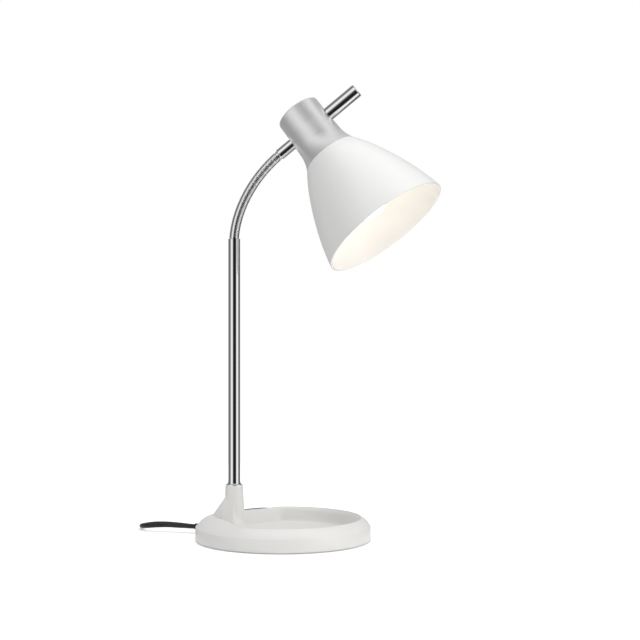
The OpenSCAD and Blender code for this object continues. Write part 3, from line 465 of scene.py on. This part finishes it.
def link_profile(i):
    """Heights and radii round a link's wall: lip, grooves, shoulder, ball and bore.

    The first link's lip reaches over the ball on the post, and the last link ends in
    the smaller ball that the ferrule holds.
    """
    low = post_lip if i == 1 else 0
    gap, ball, inner = swing_gap, ball_r, bore_r
    if i == links:
        gap, ball, inner = last_gap, last_ball_r, last_bore_r
    shoulder = link_l - gap
    outline = [(low + lip_edge, lip_r if i > 1 else bore_r)]
    outline += [(low, neck_r - shoulder_corner), (low + lip_corner, neck_r)]
    for k in range(1, grooves):
        z = k * (link_l / grooves) - swing_gap / 2
        outline += [(z + step, neck_r - share * groove_depth) for step, share in groove_edges
                    if z + step < shoulder - groove_margin]
    outline += [(shoulder - shoulder_corner, neck_r), (shoulder, neck_r - shoulder_corner)]
    outline += [(link_l + z, math.sqrt(ball ** 2 - z ** 2))
                for z in np.linspace(-gap, ball_top, ball_rows)]
    outline += [(link_l + ball_top, inner), (shoulder - bore_narrow, inner),
                (shoulder - bore_wide, bore_r)]
    if i > 1:
        outline += [(cup_depth + cup_slope, bore_r), (cup_depth, lip_r)]
    return np.array(outline)


def link_grid(i, sides=48):
    """Rings about a cubic from joint to joint, which leaves each along the mean of its links."""
    start, end = (0.5 * (along_link(k) + along_link(k + 1)) for k in (i - 1, i))
    z, r = link_profile(i).T
    t = np.clip(z / link_l, 0, 1)[:, None]
    here, there = joint_at[i - 1], joint_at[i]
    line = ((2 * t ** 3 - 3 * t ** 2 + 1) * here + (3 * t ** 2 - 2 * t ** 3) * there
            + (t ** 3 - 2 * t ** 2 + t) * link_l * start + (t ** 3 - t ** 2) * link_l * end)
    heading = ((6 * t ** 2 - 6 * t) * (here - there) / link_l
               + (3 * t ** 2 - 4 * t + 1) * start + (3 * t ** 2 - 2 * t) * end)
    heading /= np.linalg.norm(heading, axis=1)[:, None]
    line = line + (z[:, None] - t * link_l) * heading
    flat = np.array([0, 1.0, 0])
    steep = np.cross(heading, flat)
    turn = 2 * np.pi * np.arange(sides) / sides
    ring = (np.cos(turn)[None, :, None] * flat
            + np.sin(turn)[None, :, None] * steep[:, None])
    return line[:, None] + r[:, None, None] * ring


for i in range(1, links + 1):
    link = new_piece(f"turned_link_{i:02d}", grid_mesh(
        f"turned_link_{i:02d}", link_grid(i) * mm, closed_u=True, closed_v=True),
        neck_chrome, f"neck_{i:02d}")
    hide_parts(f"neck_link_{i:02d}")

# ---- cap ----
# Spun aluminium cap over the lampholder, with a satin silver finish, which gives broad
# soft reflections with no sharp edge. It turns about the ferrule.
satin, tree, shader = new_material("satin_silver", "#f4f4f5", Metallic=0.75)
uneven_gloss(tree, shader, patch=8, low=0.39, high=0.45)
dress(satin, "head_cap")

# ---- shade ----
# Bell shade in spun steel, stove enamelled inside and out: an even white with a thin
# gloss. A ring on the lampholder clamps it under the cap.
enamel, tree, shader = new_material(
    "white_stove_enamel", "#e6e6e5", Coat_Weight=0.3, Coat_Roughness=0.08)
uneven_gloss(tree, shader, patch=25, low=0.19, high=0.25)
dress(enamel, "shade")

# ---- lampholder and bulb ----
# Heat-proof moulded holder with a dull cream surface, bright brass contacts, and a lit
# frosted bulb, which glows evenly with a warm light.
holder_white, tree, shader = new_material("white_thermoplastic", "#e3dfd8")
uneven_gloss(tree, shader, patch=12, low=0.36, high=0.44)
dress(holder_white, "lampholder_body", "lampholder_core", "shade_ring")
brass, tree, shader = new_material("brass", "#c9a860", Metallic=1.0)
uneven_gloss(tree, shader, patch=4, low=0.2, high=0.3)
dress(brass, "centre_contact", "bulb_cap")
frosted, tree, shader = new_material(
    "lit_frosted_glass", "#fff6e6", Emission_Color=linear("#fff0da"), Emission_Strength=2.6)
uneven_gloss(tree, shader, patch=10, low=0.3, high=0.4)
dress(frosted, "bulb_globe")

# ---- the room ----
# A white table before a white background, and soft light from above and the right.
# Polished surfaces see the studio's screens: dark behind the camera and at the
# sides, bright between them, on the table as round about.
screen_stops = [(-180, 0.6), (-140, 0.3), (-110, 0.18), (-92, 0.12), (-78, 0.3), (-62, 0.65),
                (-50, 1.0), (-36, 1.0), (-26, 0.6), (-18, 0.1), (-5, 0.015), (12, 0.012),
                (30, 0.03), (38, 0.1), (46, 0.8), (54, 1.0), (78, 1.0), (88, 0.5), (97, 0.12),
                (120, 0.08), (140, 0.25), (180, 0.6)]  # degrees, brightness
overhead_bright, overhead_from, overhead_full = 0.6, 0.75, 0.95
ambient = 0.65
table_half, table_glow = 0.7, 0.3
card_from, card_full = 0.24, 0.34


def grey(level):
    """Linear red, green and blue at one level, and 1."""
    return level, level, level, 1


def add_screens(tree, place):
    """Brightness of the screens by bearing round the post, from the camera's side."""
    turned = add(tree, "ShaderNodeVectorRotate",
                 {"Vector": place, "Angle": math.pi / 2 - view_turn}, rotation_type="Z_AXIS")
    parts = add(tree, "ShaderNodeSeparateXYZ", {"Vector": turned.outputs["Vector"]})
    bearing = add(tree, "ShaderNodeMath", {0: parts.outputs["Y"], 1: parts.outputs["X"]},
                  operation="ARCTAN2")
    share = add(tree, "ShaderNodeMapRange", {"Value": bearing.outputs["Value"],
                                             "From Min": -math.pi, "From Max": math.pi})
    screens = add(tree, "ShaderNodeValToRGB", {"Fac": share.outputs["Result"]})
    ramp = screens.color_ramp
    while len(ramp.elements) < len(screen_stops):
        ramp.elements.new(0.5)
    for element, (degrees, bright) in zip(ramp.elements, screen_stops):
        element.position = (degrees + 180) / 360
        element.color = grey(bright)
    return screens.outputs["Color"]


floor_mesh = bpy.data.meshes.new("table")
floor_mesh.from_pydata([(x * table_half, y * table_half, 0)
                        for x, y in ((-1, -1), (1, -1), (1, 1), (-1, 1))], [], [(0, 1, 2, 3)])
table = bpy.data.objects.new("table", floor_mesh)
bpy.context.collection.objects.link(table)
# Matt white paper, brightened a little for the camera alone. Away from the lamp, polished
# surfaces see the screens carried on across it.
paper, tree, shader = new_material("white_paper", "#f4f4f4", Roughness=0.9)
floor_mesh.materials.append(paper)
light_path = add(tree, "ShaderNodeLightPath")
glow = add(tree, "ShaderNodeEmission", {"Color": grey(1), "Strength": table_glow})
lit = add(tree, "ShaderNodeAddShader", {0: shader.outputs["BSDF"], 1: glow.outputs["Emission"]})
seen = add(tree, "ShaderNodeMixShader", {0: light_path.outputs["Is Camera Ray"],
                                         1: shader.outputs["BSDF"], 2: lit.outputs["Shader"]})
position = add(tree, "ShaderNodeTexCoord").outputs["Object"]
from_post = add(tree, "ShaderNodeVectorMath", {0: position, 1: (-post_x * mm, 0, 0)},
                operation="SUBTRACT")
cards = add(tree, "ShaderNodeEmission", {
    "Color": add_screens(tree, from_post.outputs["Vector"]), "Strength": 1.0})
distance = add(tree, "ShaderNodeVectorMath", {0: position}, operation="LENGTH")
past_base = add(tree, "ShaderNodeMapRange", {"Value": distance.outputs["Value"],
                                             "From Min": card_from, "From Max": card_full})
on_card = add(tree, "ShaderNodeMath", {0: light_path.outputs["Is Glossy Ray"],
                                       1: past_base.outputs["Result"]}, operation="MULTIPLY")
surface = add(tree, "ShaderNodeMixShader", {
    0: on_card.outputs["Value"], 1: seen.outputs["Shader"], 2: cards.outputs["Emission"]})
tree.links.new(surface.outputs["Shader"], tree.nodes["Material Output"].inputs["Surface"])

world = bpy.data.worlds.new("studio")
bpy.context.scene.world = world
world.use_nodes = True
tree = world.node_tree
direction = add(tree, "ShaderNodeTexCoord").outputs["Generated"]
climb = add(tree, "ShaderNodeMapRange", {
    "Value": add(tree, "ShaderNodeSeparateXYZ", {"Vector": direction}).outputs["Z"],
    "From Min": overhead_from, "From Max": overhead_full})
overhead = add(tree, "ShaderNodeMixRGB", {
    "Fac": climb.outputs["Result"], "Color1": add_screens(tree, direction),
    "Color2": grey(overhead_bright)})
light_path = add(tree, "ShaderNodeLightPath")
glossy_view = add(tree, "ShaderNodeMixRGB", {
    "Fac": light_path.outputs["Is Glossy Ray"], "Color1": grey(ambient),
    "Color2": overhead.outputs["Color"]})
camera_view = add(tree, "ShaderNodeMixRGB", {
    "Fac": light_path.outputs["Is Camera Ray"], "Color1": glossy_view.outputs["Color"],
    "Color2": grey(1)})
tree.links.new(camera_view.outputs["Color"], tree.nodes["Background"].inputs["Color"])


def soft_light(name, place, aim, size, power):
    """A square area lamp at a place, turned to face a point and hidden from reflections."""
    data = bpy.data.lights.new(name, "AREA")
    data.size = size
    data.energy = power
    lamp = bpy.data.objects.new(name, data)
    bpy.context.collection.objects.link(lamp)
    lamp.location = place
    lamp.visible_glossy = False
    line = np.array(aim) - np.array(place)
    side = math.hypot(line[0], line[1])
    lamp.rotation_euler = (math.atan2(side, -line[2]), 0,
                           math.atan2(line[1], line[0]) - math.pi / 2)


soft_light("overhead", place=(0.1, -0.1, 1.6), aim=(0, 0, 0.1), size=1.4, power=12)
soft_light("key", place=(1.4, -0.7, 0.45), aim=(0, 0, 0.2), size=0.8, power=6.5)
